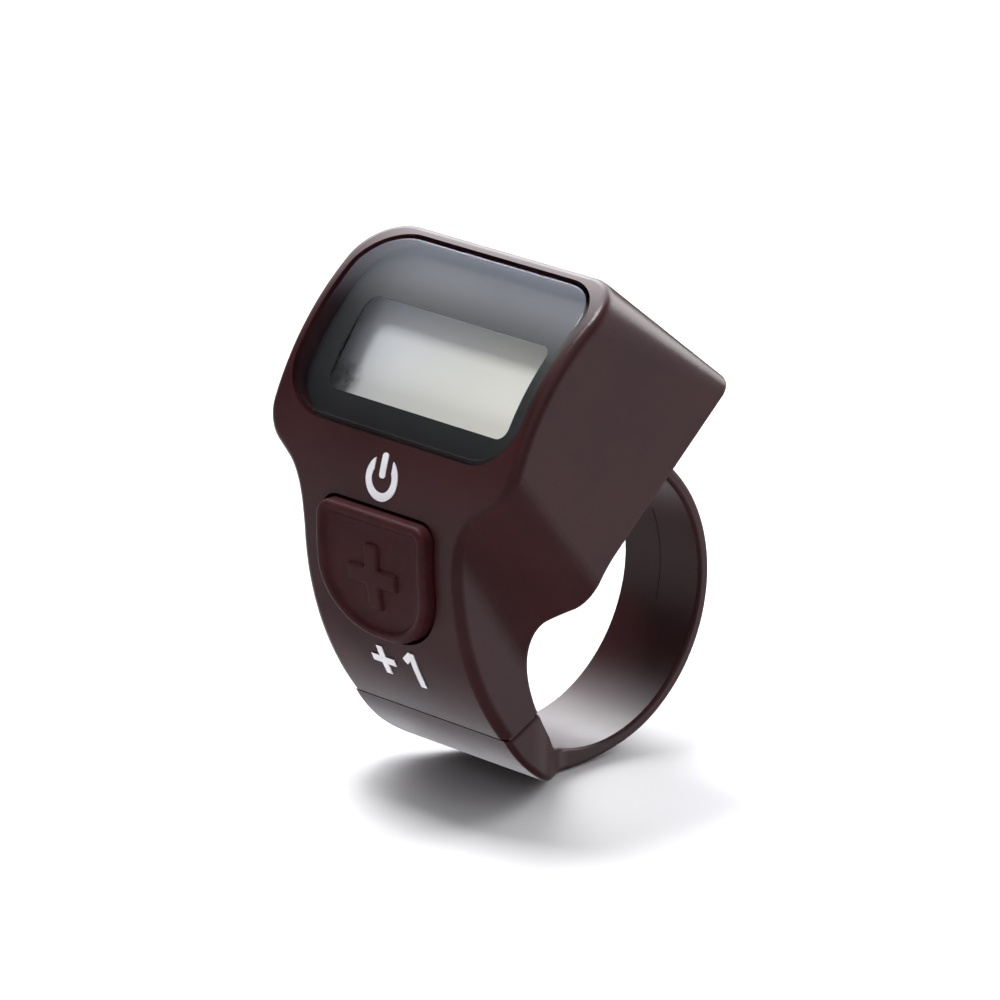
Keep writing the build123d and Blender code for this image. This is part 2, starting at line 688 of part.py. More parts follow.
def lcd_frame():
    """Moulded holder that locates the glass and the contact strip on the board."""
    top_of_frame = GLASS_DEPTH - 2 * FIT
    frame = face_box(FRAME_WIDTH, FRAME_BOTTOM, FRAME_TOP, top_of_frame, BOARD_DEPTH)
    frame = frame & x_cylinder(HIGH_CENTRE, LEDGE_R - FIT)
    front_pocket = face_box(
        GLASS_WIDTH + 2 * FIT, FRONT_GLASS_BOTTOM - FIT, GLASS_TOP + FIT, 0, REAR_GLASS_DEPTH
    )
    rear_pocket = face_box(
        GLASS_WIDTH + 2 * FIT, REAR_GLASS_BOTTOM - FIT, GLASS_TOP + FIT, 0, REFLECTOR_BACK
    )
    window = face_box(
        GLASS_WIDTH - 1, REAR_GLASS_BOTTOM + 0.5, GLASS_TOP - 0.5, 0, BOARD_DEPTH + 1
    )
    slot = face_box(
        CONTACT_WIDTH + 2 * FIT, CONTACT_LOW - FIT, CONTACT_HIGH + FIT, 0, BOARD_DEPTH + 1
    )
    frame = frame - front_pocket - rear_pocket - window - slot
    for x, up in boss_places():
        frame = frame - face_rod(x, up, BOSS_R + 2 * FIT, 0, BOARD_DEPTH + 1)
    return frame


def contact_strip():
    """Elastomer strip that joins the glass's contact edge to the board."""
    return face_box(CONTACT_WIDTH, CONTACT_LOW, CONTACT_HIGH, REAR_GLASS_DEPTH, BOARD_DEPTH)


# ---------------------------------------------------------------- boards and cell
def main_board():
    """Circuit board behind the display, with four screw holes."""
    board = face_box(BOARD_WIDTH, BOARD_BOTTOM, BOARD_TOP, BOARD_DEPTH, BOARD_BACK)
    corners = board.edges().filter_by(Axis(FACE.origin, FACE.z_dir))
    board = fillet(corners, BOARD_CORNER)
    for x, up in boss_places():
        board = board - face_rod(x, up, CLEAR_R, BOARD_DEPTH - 1, BOARD_BACK + 1)
    return board


def chip_blob():
    """Resin dome over the counting chip, on the front of the board."""
    radius = (BLOB_R ** 2 + BLOB_RISE ** 2) / 2 / BLOB_RISE
    ball = FACE * (Pos(0, 0, radius - BOARD_DEPTH + BLOB_RISE - 2 * radius) * Sphere(radius))
    return ball & face_box(FAR, -FAR, FAR, BOARD_DEPTH - BLOB_RISE, BOARD_DEPTH)


def clock_crystal():
    """Small can that holds the clock crystal, on the back of the board."""
    can = Rot(90, 0, 0) * Cylinder(CRYSTAL_R, CRYSTAL_LENGTH)
    return FACE * (Pos(-BOARD_PART_X, CRYSTAL_UP, -BOARD_BACK - CRYSTAL_R) * can)


def capacitors():
    """Three chip capacitors in a row on the back of the board."""
    x = BOARD_PART_X + CAPACITOR[0] / 2
    z = -BOARD_BACK - CAPACITOR[2] / 2
    return FACE * Compound(children=[Pos(x, up, z) * Box(*CAPACITOR) for up in CAPACITOR_UPS])


def coin_cell():
    """Coin cell: a wide can, and the smaller terminal that faces the board."""
    can = face_rod(0, CELL_UP, CELL_R, CELL_DEPTH + CELL_STEP, CELL_BACK)
    can = fillet(can.edges(), CELL_ROUND)
    return can + face_rod(0, CELL_UP, CELL_R - CELL_STEP_IN, CELL_DEPTH, CELL_BACK - CELL_STEP)


def cell_tray():
    """Ring that holds the cell on the board, open at one side for the contact."""
    ring = face_rod(0, CELL_UP, TRAY_R, BOARD_BACK, CELL_BACK - TRAY_SHORT)
    ring = ring - face_rod(0, CELL_UP, CELL_R + 2 * FIT, 0, FAR)
    low, high = CELL_UP - TRAY_SLOT, CELL_UP + TRAY_SLOT
    return ring - face_box(TRAY_SLOT_X, low, high, 0, FAR, TRAY_R)


def cell_contact_minus():
    """Sheet contact under the cell, with two raised points."""
    low, high = CELL_UP - MINUS_HALF, CELL_UP + MINUS_HALF
    plate = face_box(MINUS_LENGTH, low, high, BOARD_BACK, BOARD_BACK + STRIP_METAL)
    for x in (-MINUS_POINT_X, MINUS_POINT_X):
        plate = plate + face_rod(x, CELL_UP, MINUS_POINT_R, BOARD_BACK, CELL_DEPTH)
    return plate


def cell_contact_plus():
    """Sheet contact over the back of the cell, with a leg down to the board."""
    low, high = CELL_UP - PLUS_HALF, CELL_UP + PLUS_HALF
    leg_x = TRAY_R + PLUS_LEG
    bar_x = (leg_x - PLUS_REACH) / 2
    top = CELL_BACK + STRIP_METAL
    bar = face_box(leg_x + PLUS_REACH, low, high, CELL_BACK, top, bar_x)
    leg = face_box(STRIP_METAL, low, high, BOARD_BACK, top, leg_x - STRIP_METAL / 2)
    foot_x = leg_x - STRIP_METAL + PLUS_FOOT / 2
    foot = face_box(PLUS_FOOT, low, high, BOARD_BACK, BOARD_BACK + STRIP_METAL, foot_x)
    return bar + leg + foot


def flex_strip():
    """Flat cable from the back of the main board down to the back of the switch board."""
    def bend(depth, y):
        up = (y - FACE_CENTRE[0] - depth * FACE_SIN) / FACE_COS
        return face_point(up, depth)

    near, far = BOARD_BACK, BOARD_BACK + FLEX_THICK
    front, back = SWITCH_BOARD_BACK, SWITCH_BOARD_BACK + FLEX_THICK
    outline = [
        face_point(FLEX_TOP, near),
        bend(near, front),
        (front, FLEX_END_Z),
        (back, FLEX_END_Z),
        bend(far, back),
        face_point(FLEX_TOP, far),
    ]
    return yz_prism(Polyline(*outline, close=True), FLEX_WIDTH / 2)


# ---------------------------------------------------------------- button and switch
def button_cap():
    """Button: bordered shield face, flange behind the wall, and a stem to the switch."""
    cap = front_layer(button_outline(0), -BUTTON_PROUD, WALL + BUTTON_LIP_GAP)
    field = BUTTON_RECESS - BUTTON_PROUD
    cap = cap - front_layer(button_outline(-BUTTON_BORDER), -BUTTON_PROUD - 1, field)
    flange = WALL + BUTTON_LIP_GAP
    cap = cap + front_layer(button_outline(BUTTON_LIP), flange, flange + BUTTON_FLANGE)
    arms = Rectangle(PLUS_SIZE, PLUS_ARM) + Rectangle(PLUS_ARM, PLUS_SIZE)
    arms = Pos(0, SWITCH_Z) * arms
    cap = cap + front_layer(arms, PLUS_RECESS - BUTTON_PROUD, field + SINK)
    stem = Pos(0, SWITCH_Z) * Circle(STEM_R)
    return cap + front_prism(stem, FRONT_Y + flange + SINK, PLUNGER_FRONT - PLUNGER_GAP)


def switch_square(size):
    """Square outline about the switch's axis."""
    return Pos(0, SWITCH_Z) * Rectangle(size, size)


def switch_base():
    """Body of the press switch, with the round pocket for its dome."""
    base = front_prism(switch_square(2 * SWITCH_HALF), SWITCH_FRONT, SWITCH_BOARD_FRONT)
    pocket = Pos(0, SWITCH_Z) * Circle(SWITCH_POCKET_R)
    return base - front_prism(pocket, SWITCH_FRONT - 1, SWITCH_FRONT + SWITCH_POCKET)


def switch_cover():
    """Sheet cover of the switch: a plate with a hole, and tabs down two sides."""
    hole = Pos(0, SWITCH_Z) * Circle(PLUNGER_R + PLUNGER_HOLE_GAP)
    front = SWITCH_FRONT - STRIP_METAL
    plate = front_prism(switch_square(2 * SWITCH_HALF) - hole, front, SWITCH_FRONT)
    for sign in (-1, 1):
        place = SWITCH_Z + sign * (SWITCH_HALF + STRIP_METAL / 2)
        tab = Pos(0, place) * Rectangle(TAB_WIDTH, STRIP_METAL)
        plate = plate + front_prism(tab, front, SWITCH_FRONT + TAB_DEPTH)
    return plate


def switch_plunger():
    """Plunger of the switch: a stem through the cover and a flange under it."""
    stem = Pos(0, SWITCH_Z) * Circle(PLUNGER_R)
    flange = Pos(0, SWITCH_Z) * Circle(PLUNGER_FLANGE_R)
    flange_front = SWITCH_FRONT + PLUNGER_GAP
    rod = front_prism(stem, PLUNGER_FRONT, flange_front + PLUNGER_FLANGE)
    return rod + front_prism(flange, flange_front, flange_front + PLUNGER_FLANGE)


def switch_dome():
    """Thin sprung dome between the plunger and the floor of the pocket."""
    radius = (DOME_R ** 2 + DOME_RISE ** 2) / 2 / DOME_RISE
    floor = SWITCH_FRONT + SWITCH_POCKET
    centre = floor - DOME_RISE + radius
    ball = Pos(0, centre, SWITCH_Z) * (Sphere(radius) - Sphere(radius - DOME_SHEET))
    return ball & front_prism(switch_square(FAR), floor - 2, floor)


def switch_terminals():
    """Four solder terminals at the sides of the switch."""
    side = SWITCH_HALF + TERMINAL[0] / 2
    y = SWITCH_BOARD_FRONT - TERMINAL[1] / 2
    feet = []
    for x in (-side, side):
        for z in (SWITCH_Z - TERMINAL_SPACING, SWITCH_Z + TERMINAL_SPACING):
            feet.append(Pos(x, y, z) * Box(*TERMINAL))
    return Compound(children=feet)


def switch_board():
    """Small board behind the button."""
    height = SWITCH_BOARD_HIGH - SWITCH_BOARD_LOW
    outline = RectangleRounded(SWITCH_BOARD_WIDTH, height, SWITCH_BOARD_CORNER)
    outline = Pos(0, SWITCH_BOARD_LOW + height / 2) * outline
    return front_prism(outline, SWITCH_BOARD_FRONT, SWITCH_BOARD_BACK)


# ---------------------------------------------------------------- screws and marks
def screw(x, up, seat):
    """Pan-head screw with a cross recess, square to the display face, its head on a seat."""
    body = face_rod(x, up, SCREW_R, SCREW_TIP, seat)
    body = body + face_rod(x, up, SCREW_HEAD_R, seat, seat + SCREW_HEAD)
    crowned = body.edges().sort_by(Axis(FACE.origin, FACE.z_dir))[0]
    body = fillet(crowned, SCREW_ROUND)
    head_top = seat + SCREW_HEAD
    for width, height in ((RECESS_LENGTH, RECESS_WIDTH), (RECESS_WIDTH, RECESS_LENGTH)):
        slot = Pos(x, up) * Rectangle(width, height)
        body = body - face_prism(slot, head_top - RECESS_DEPTH, head_top + 1)
    return body


def board_screws():
    """Two screws that hold the main board to the front housing."""
    screws = [screw(x, BOSS_LOW, BOARD_BACK) for x in (BOSS_X, -BOSS_X)]
    return Compound(children=screws)


def case_screws():
    """Two long screws that hold the ring housing to the front housing."""
    screws = []
    for x, up in pillar_places():
        seat = underside_depth(up) - COUNTERBORE
        screws.append(screw(x, up, seat))
    return Compound(children=screws)


def power_mark():
    """Printed ring with a bar through its gap, above the button."""
    ring = Circle(POWER_R) - Circle(POWER_R - MARK_LINE)
    ring = ring - Pos(0, POWER_R) * Rectangle(3 * MARK_LINE, 2 * POWER_R)
    bar = Pos(0, POWER_BAR_UP) * RectangleRounded(MARK_LINE, POWER_BAR, 0.4 * MARK_LINE)
    return front_layer(Pos(0, POWER_Z) * (ring + bar), -INK, 0)


def plus_one_mark():
    """Printed plus sign and figure one, below the button."""
    plus = Rectangle(FIGURE_SIGN, MARK_LINE) + Rectangle(MARK_LINE, FIGURE_SIGN)
    flag = Pos(-0.8 * MARK_LINE, FIGURE_HEIGHT / 2 - 0.85 * MARK_LINE) * Rot(0, 0, 40)
    one = Rectangle(MARK_LINE, FIGURE_HEIGHT) + flag * Rectangle(2 * MARK_LINE, 0.9 * MARK_LINE)
    outline = Pos(-FIGURE_SPACING, PLUS_ONE_Z) * plus + Pos(FIGURE_SPACING, PLUS_ONE_Z) * one
    return front_layer(outline, -INK, 0)


# ---------------------------------------------------------------- output
NODES = {
    "front_housing": front_housing,
    "ring_housing": ring_housing,
    "lens": lens,
    "display_mask": display_mask,
    "window_adhesive": window_adhesive,
    "lcd_polarizer": lcd_polarizer,
    "lcd_front_glass": lcd_front_glass,
    "lcd_rear_glass": lcd_rear_glass,
    "lcd_reflector": lcd_reflector,
    "lcd_frame": lcd_frame,
    "contact_strip": contact_strip,
    "main_board": main_board,
    "chip_blob": chip_blob,
    "clock_crystal": clock_crystal,
    "capacitors": capacitors,
    "coin_cell": coin_cell,
    "cell_tray": cell_tray,
    "cell_contact_minus": cell_contact_minus,
    "cell_contact_plus": cell_contact_plus,
    "flex_strip": flex_strip,
    "switch_board": switch_board,
    "switch_base": switch_base,
    "switch_cover": switch_cover,
    "switch_terminals": switch_terminals,
    "switch_plunger": switch_plunger,
    "switch_dome": switch_dome,
    "button_cap": button_cap,
    "board_screws": board_screws,
    "case_screws": case_screws,
    "power_mark": power_mark,
    "plus_one_mark": plus_one_mark,
}

os.makedirs("parts", exist_ok=True)
for name, make in NODES.items():
    shape = make()
    shape.label = name
    export_step(shape, f"parts/{name}.step")
    box = shape.bounding_box()
    size = f"{shape.volume:9.3f} mm3  {len(shape.solids())} solid(s)"
    print(f"{name:20s} {size}  {box.min} {box.max}")
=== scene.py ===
import json
import math

import bpy
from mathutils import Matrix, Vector


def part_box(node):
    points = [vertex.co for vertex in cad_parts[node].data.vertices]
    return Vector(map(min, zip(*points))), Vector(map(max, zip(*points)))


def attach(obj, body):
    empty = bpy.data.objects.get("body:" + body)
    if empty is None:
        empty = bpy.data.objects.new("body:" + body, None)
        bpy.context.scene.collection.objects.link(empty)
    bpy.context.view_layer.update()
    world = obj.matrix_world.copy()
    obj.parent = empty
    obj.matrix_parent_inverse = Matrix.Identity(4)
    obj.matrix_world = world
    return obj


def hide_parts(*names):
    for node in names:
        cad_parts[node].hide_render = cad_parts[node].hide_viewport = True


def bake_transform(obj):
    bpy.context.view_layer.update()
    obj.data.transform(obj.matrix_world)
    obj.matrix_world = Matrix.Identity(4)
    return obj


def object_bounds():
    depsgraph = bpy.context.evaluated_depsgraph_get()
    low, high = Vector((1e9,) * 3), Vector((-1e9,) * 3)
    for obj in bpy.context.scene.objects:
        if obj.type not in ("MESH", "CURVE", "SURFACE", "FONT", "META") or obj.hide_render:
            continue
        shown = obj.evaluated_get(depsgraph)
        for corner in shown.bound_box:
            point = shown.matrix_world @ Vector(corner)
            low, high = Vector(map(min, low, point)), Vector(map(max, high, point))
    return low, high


# Visual model of a finger tally counter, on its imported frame. Metres, in the frame's own axes.
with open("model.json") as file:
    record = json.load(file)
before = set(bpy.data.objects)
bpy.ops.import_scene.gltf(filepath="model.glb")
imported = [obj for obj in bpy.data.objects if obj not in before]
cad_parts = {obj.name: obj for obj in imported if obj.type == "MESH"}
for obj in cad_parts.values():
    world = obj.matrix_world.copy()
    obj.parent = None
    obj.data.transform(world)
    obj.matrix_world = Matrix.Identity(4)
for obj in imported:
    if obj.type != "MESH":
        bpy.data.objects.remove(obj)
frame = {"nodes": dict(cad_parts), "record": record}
CAD_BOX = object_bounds()
NODES = frame["nodes"]

# ---------------------------------------------------------------- driving dimensions
# Front surface: two arcs about the X direction, tangent at the level FRONT_Z.
FRONT_Z = 0.0075
FRONT_Y = -0.0165
FRONT_R_HIGH = 0.01895
FRONT_R_LOW = 0.02165
HIGH_CENTRE = (FRONT_Y + FRONT_R_HIGH, FRONT_Z)

# Display frame: heights run up the face, depths run inwards from it.
FACE_Y = -0.0122
FACE_Z = 0.0195
FACE_TILT = math.radians(53.4)
FACE_SIN = math.sin(FACE_TILT)
FACE_COS = math.cos(FACE_TILT)

# Window, and how deep the display's front lies
LENS_UP = 0.001
LENS_HALF = (0.010625, 0.00685)
LENS_CORNER = 0.0034
LENS_FRONT_R = 0.01887
LENS_BACK_R = 0.01757
LENS_BEVEL = 0.00013
BEVEL_RINGS = (0.00004, 0.0001)   # rings inside the bevel that keep the face flat up to it
DISPLAY_DEPTH = 0.00315

# Fine ridge that the mould's parting left inside the back of the band. Its ends' angles run
# in degrees about the X direction from +Y.
BORE_R = 0.01
PARTING_X = -0.0002
PARTING_HALF = 0.00005
PARTING_PROUD = 0.00003
PARTING_SUNK = 0.00008
PARTING_ANGLES = (24, -19)

# Tongue behind the seam between the two housings, reaching outwards from the hole's axis
SEAM_ANGLE = math.radians(-154)
TONGUE_HALF = 0.0075
TONGUE_REACH = (0.0102, 0.01314)
TONGUE_THICK = 0.00044
TONGUE_ROUND = 0.0002

# Sheet of the press switch's dome
DOME_SHEET = 0.00008

# Button: straight top and sides, round bottom; heights stand above the front surface
BUTTON_HALF = 0.00535
BUTTON_TOP = 0.0096
BUTTON_BOTTOM = 0.0003
BUTTON_SIDE_END = 0.0049
BUTTON_SHOULDER = (0.0038, 0.0016)
BUTTON_CORNER = 0.0013
BUTTON_PROUD = 0.00085
BUTTON_FIELD = 0.0005
BUTTON_FOOT = -0.0022
BUTTON_DRAWN_IN = 0.0001
BUTTON_ROUND = (0.00032, 0.00035)   # across and down
BORDER_TOP_END = 0.00055
BORDER_SLOPE = (0.00070, 0.00084, 0.00098, 0.00115)
SLOPE_EASE = 0.00004

# Plus sign on the button
SIGN_CENTRE = 0.005
SIGN_HALF = 0.0023
SIGN_ARM = 0.0006
SIGN_TOP = 0.00074
SIGN_ROUND = 0.00022
SIGN_FOOT = ((0.0001, -0.0001), (0.00006, 0.00004))   # margin, height over the field
SIGN_EDGE = (0.00002, 0.00008)
SIGN_TOP_MARGIN = -0.00018


# ---------------------------------------------------------------- geometry helpers
SHARP_ANGLE = math.radians(40)


def front_point(x, z, proud):
    """Point above the front surface by a height, at a place in X and Z."""
    radius = FRONT_R_HIGH if z > FRONT_Z else FRONT_R_LOW
    reach = math.sqrt((radius + proud) ** 2 - (z - FRONT_Z) ** 2)
    return Vector((x, FRONT_Y + radius - reach, z))


def face_point(x, up, depth):
    """Point from a place on the display face and a depth below it."""
    y = FACE_Y + up * FACE_COS + depth * FACE_SIN
    z = FACE_Z + up * FACE_SIN - depth * FACE_COS
    return Vector((x, y, z))


def window_point(x, up, radius):
    """Point of the window's arc of that radius, square below a place on the face."""
    start = face_point(x, up, 0)
    away = (start.y - HIGH_CENTRE[0], start.z - HIGH_CENTRE[1])
    along = away[0] * FACE_SIN - away[1] * FACE_COS
    square = away[0] ** 2 + away[1] ** 2 - radius ** 2
    depth = -along - math.sqrt(along ** 2 - square)
    return face_point(x, up, depth)


def line_points(start, end, count):
    """Points along a line, without its end."""
    points = []
    for i in range(count):
        share = i / count
        x = start[0] + (end[0] - start[0]) * share
        y = start[1] + (end[1] - start[1]) * share
        points.append((x, y))
    return points


def corner_points(centre, radius, start_degrees, sweep, count):
    """Points along an arc, without its end."""
    points = []
    for i in range(count):
        angle = math.radians(start_degrees + sweep * i / count)
        x = centre[0] + radius * math.cos(angle)
        y = centre[1] + radius * math.sin(angle)
        points.append((x, y))
    return points


def moved(outline, margin):
    """Closed outline moved outwards by a margin, square to itself."""
    result = []
    count = len(outline)
    for i, point in enumerate(outline):
        before = outline[i - 1]
        after = outline[(i + 1) % count]
        step = (after[0] - before[0], after[1] - before[1])
        length = math.hypot(*step)
        x = point[0] + step[1] / length * margin
        y = point[1] - step[0] / length * margin
        result.append((x, y))
    return result


def shrunk(outline, centre, share):
    """Closed outline drawn in towards a centre."""
    return [
        (centre[0] + (x - centre[0]) * share, centre[1] + (y - centre[1]) * share)
        for x, y in outline
    ]


def ring_piece(name, rings, first=None, last=None):
    """Closed mesh through rings of equal length; a point closes each end, by default its middle."""
    first = first or sum(rings[0], Vector()) / len(rings[0])
    last = last or sum(rings[-1], Vector()) / len(rings[-1])
    count = len(rings[0])
    points = [point for ring in rings for point in ring]
    faces = []
    for k in range(len(rings) - 1):
        for i in range(count):
            j = (i + 1) % count
            low, high = k * count, (k + 1) * count
            faces.append((low + i, low + j, high + j, high + i))
    first_index = len(points)
    points += [first, last]
    last_ring = (len(rings) - 1) * count
    for i in range(count):
        j = (i + 1) % count
        faces.append((first_index, j, i))
        faces.append((first_index + 1, last_ring + i, last_ring + j))
    mesh = bpy.data.meshes.new(name)
    mesh.from_pydata(points, [], faces)
    mesh.update()
    mesh.shade_smooth()
    mesh.set_sharp_from_angle(angle=SHARP_ANGLE)
    piece = bpy.data.objects.new(name, mesh)
    bpy.context.scene.collection.objects.link(piece)
    return piece


def round_profile(start, end, steps):
    """Margins and heights along a quarter round from one pair to the other, flat at its end."""
    pairs = []
    for i in range(1, steps + 1):
        angle = math.radians(90 * i / steps)
        margin = start[0] + (end[0] - start[0]) * (1 - math.cos(angle))
        height = start[1] + (end[1] - start[1]) * math.sin(angle)
        pairs.append((margin, height))
    return pairs


# ---------------------------------------------------------------- materials
METAL_LINES = 1500   # per metre
PAINTED_SHADE_REACH = 0.0075  # how far the painted shade on the display runs from its middle
WORN_PLACE = (-0.0088, -0.0026)
WORN_FROM, WORN_TO = 0.0004, 0.0018


def start_material(name):
    """Empty node material with its shader; returns the material, its tree and the shader."""
    material = bpy.data.materials.new(name)
    material.use_nodes = True
    tree = material.node_tree
    return material, tree, tree.nodes["Principled BSDF"]


def noise(tree, scale, detail=3.0, roughness=0.55):
    """Noise texture on the piece's own coordinates, with a scale per metre."""
    place = tree.nodes.new("ShaderNodeTexCoord")
    texture = tree.nodes.new("ShaderNodeTexNoise")
    texture.inputs["Scale"].default_value = scale
    texture.inputs["Detail"].default_value = detail
    texture.inputs["Roughness"].default_value = roughness
    tree.links.new(place.outputs["Object"], texture.inputs["Vector"])
    return texture


def ramp(tree, source, low, high, start=0.3, end=0.7):
    """Colour ramp between two colours, driven by a texture's value."""
    node = tree.nodes.new("ShaderNodeValToRGB")
    node.color_ramp.elements[0].position = start
    node.color_ramp.elements[1].position = end
    node.color_ramp.elements[0].color = (*low, 1)
    node.color_ramp.elements[1].color = (*high, 1)
    tree.links.new(source, node.inputs["Fac"])
    return node


def spread(tree, source, low, high):
    """Texture value mapped to a range."""
    node = tree.nodes.new("ShaderNodeMapRange")
    node.inputs["From Min"].default_value = 0.3
    node.inputs["From Max"].default_value = 0.7
    node.inputs["To Min"].default_value = low
    node.inputs["To Max"].default_value = high
    tree.links.new(source, node.inputs["Value"])
    return node.outputs["Result"]


def grain(tree, shader, source, height):
    """Bump of a given height from a texture's value."""
    bump = tree.nodes.new("ShaderNodeBump")
    bump.inputs["Strength"].default_value = 1.0
    bump.inputs["Distance"].default_value = height
    tree.links.new(source, bump.inputs["Height"])
    tree.links.new(bump.outputs["Normal"], shader.inputs["Normal"])


def moulded(name, dark, light, roughness, blotch=150, fine=3500, height=0.000004, **constants):
    """Moulded or coated surface: blotches of colour and roughness, and a fine grain."""
    material, tree, shader = start_material(name)
    blotches = noise(tree, blotch).outputs["Fac"]
    fine_grain = noise(tree, fine, 2.0).outputs["Fac"]
    colour = ramp(tree, blotches, dark, light)
    tree.links.new(colour.outputs["Color"], shader.inputs["Base Color"])
    tree.links.new(spread(tree, blotches, *roughness), shader.inputs["Roughness"])
    grain(tree, shader, fine_grain, height)
    for socket, value in constants.items():
        shader.inputs[socket.replace("_", " ")].default_value = value
    return material


def metal(name, dark, light, roughness, stretch):
    """Plated sheet or turned metal, with fine lines that a stretch packs closer in a direction."""
    material, tree, shader = start_material(name)
    place = tree.nodes.new("ShaderNodeTexCoord")
    mapping = tree.nodes.new("ShaderNodeMapping")
    mapping.inputs["Scale"].default_value = stretch
    lines = tree.nodes.new("ShaderNodeTexNoise")
    lines.inputs["Scale"].default_value = METAL_LINES
    tree.links.new(place.outputs["Object"], mapping.inputs["Vector"])
    tree.links.new(mapping.outputs["Vector"], lines.inputs["Vector"])
    colour = ramp(tree, lines.outputs["Fac"], dark, light)
    tree.links.new(colour.outputs["Color"], shader.inputs["Base Color"])
    tree.links.new(spread(tree, lines.outputs["Fac"], *roughness), shader.inputs["Roughness"])
    shader.inputs["Metallic"].default_value = 1.0
    return material


def window_glass(name):
    """Clear acrylic: nearly all see-through, with a mirror share that grows at a slant."""
    material, tree, shader = start_material(name)
    tree.nodes.remove(shader)
    clear = tree.nodes.new("ShaderNodeBsdfTransparent")
    clear.inputs["Color"].default_value = (0.99, 0.99, 0.98, 1)
    gloss = tree.nodes.new("ShaderNodeBsdfGlossy")
    gloss.inputs["Roughness"].default_value = 0.15
    tint = noise(tree, 90)
    colour = ramp(tree, tint.outputs["Fac"], (0.66, 0.71, 0.83), (0.73, 0.78, 0.86))
    tree.links.new(colour.outputs["Color"], gloss.inputs["Color"])
    slant = tree.nodes.new("ShaderNodeFresnel")
    slant.inputs["IOR"].default_value = 1.5
    sides = tree.nodes.new("ShaderNodeNewGeometry")
    outside = tree.nodes.new("ShaderNodeMath")
    outside.operation = "SUBTRACT"
    outside.inputs[0].default_value = 1.0
    tree.links.new(sides.outputs["Backfacing"], outside.inputs[1])
    share = tree.nodes.new("ShaderNodeMath")
    share.operation = "MULTIPLY"
    tree.links.new(slant.outputs["Fac"], share.inputs[0])
    tree.links.new(outside.outputs["Value"], share.inputs[1])
    mix = tree.nodes.new("ShaderNodeMixShader")
    tree.links.new(share.outputs["Value"], mix.inputs["Fac"])
    tree.links.new(clear.outputs["BSDF"], mix.inputs[1])
    tree.links.new(gloss.outputs["BSDF"], mix.inputs[2])
    tree.links.new(mix.outputs["Shader"], tree.nodes["Material Output"].inputs["Surface"])
    return material


def film_with_painted_shade(name):
    """Film of a blank display: cream, with painted shade that darkens and cools it towards its
    upper left, where the window's frame shades it, and a small worn patch.
    """
    material, tree, shader = start_material(name)
    place = tree.nodes.new("ShaderNodeTexCoord")
    mottle = noise(tree, 420, 4.0)
    along = tree.nodes.new("ShaderNodeVectorMath")
    along.operation = "DOT_PRODUCT"
    down_right = (face_point(1, -1, 0) - face_point(0, 0, 0)).normalized()
    along.inputs[1].default_value = down_right
    tree.links.new(place.outputs["Object"], along.inputs[0])
    painted_shade_share = tree.nodes.new("ShaderNodeMapRange")
    middle = face_point(0, 0, DISPLAY_DEPTH).dot(down_right)
    painted_shade_share.inputs["From Min"].default_value = middle - PAINTED_SHADE_REACH
    painted_shade_share.inputs["From Max"].default_value = middle + PAINTED_SHADE_REACH
    tree.links.new(along.outputs["Value"], painted_shade_share.inputs["Value"])
    # Painted shade: the colour runs from a dark blue-grey at the upper left, standing in for the
    # window frame's shadow, to cream at the lower right
    film = ramp(tree, painted_shade_share.outputs["Result"], (0.74, 0.77, 0.86), (0.97, 0.97, 0.90), 0.0, 1.0)
    painted_shade_middle = film.color_ramp.elements.new(0.55)
    painted_shade_middle.color = (0.84, 0.85, 0.82, 1)
    distance = tree.nodes.new("ShaderNodeVectorMath")
    distance.operation = "DISTANCE"
    distance.inputs[1].default_value = face_point(*WORN_PLACE, DISPLAY_DEPTH)
    tree.links.new(place.outputs["Object"], distance.inputs[0])
    near = tree.nodes.new("ShaderNodeMapRange")
    near.inputs["From Min"].default_value = WORN_FROM
    near.inputs["From Max"].default_value = WORN_TO
    near.inputs["To Min"].default_value = 0.8
    near.inputs["To Max"].default_value = 0.0
    tree.links.new(distance.outputs["Value"], near.inputs["Value"])
    streaks = noise(tree, 1500, 3.0)
    patch = tree.nodes.new("ShaderNodeMath")
    patch.operation = "MULTIPLY"
    tree.links.new(near.outputs["Result"], patch.inputs[0])
    tree.links.new(spread(tree, streaks.outputs["Fac"], 0.0, 1.0), patch.inputs[1])
    mix = tree.nodes.new("ShaderNodeMix")
    mix.data_type = "RGBA"
    tree.links.new(patch.outputs["Value"], mix.inputs["Factor"])
    tree.links.new(film.outputs["Color"], mix.inputs["A"])
    mix.inputs["B"].default_value = (0.16, 0.17, 0.16, 1)
    tree.links.new(mix.outputs["Result"], shader.inputs["Base Color"])
    tree.links.new(spread(tree, mottle.outputs["Fac"], 0.42, 0.5), shader.inputs["Roughness"])
    return material


def thin_glass(name):
    """Thin display glass: mostly see-through, with a faint green edge."""
    material, tree, shader = start_material(name)
    haze = noise(tree, 300)
    green = ramp(tree, haze.outputs["Fac"], (0.72, 0.84, 0.78), (0.82, 0.90, 0.86))
    tree.links.new(green.outputs["Color"], shader.inputs["Base Color"])
    tree.links.new(spread(tree, haze.outputs["Fac"], 0.04, 0.08), shader.inputs["Roughness"])
    shader.inputs["Transmission Weight"].default_value = 0.85
    return material


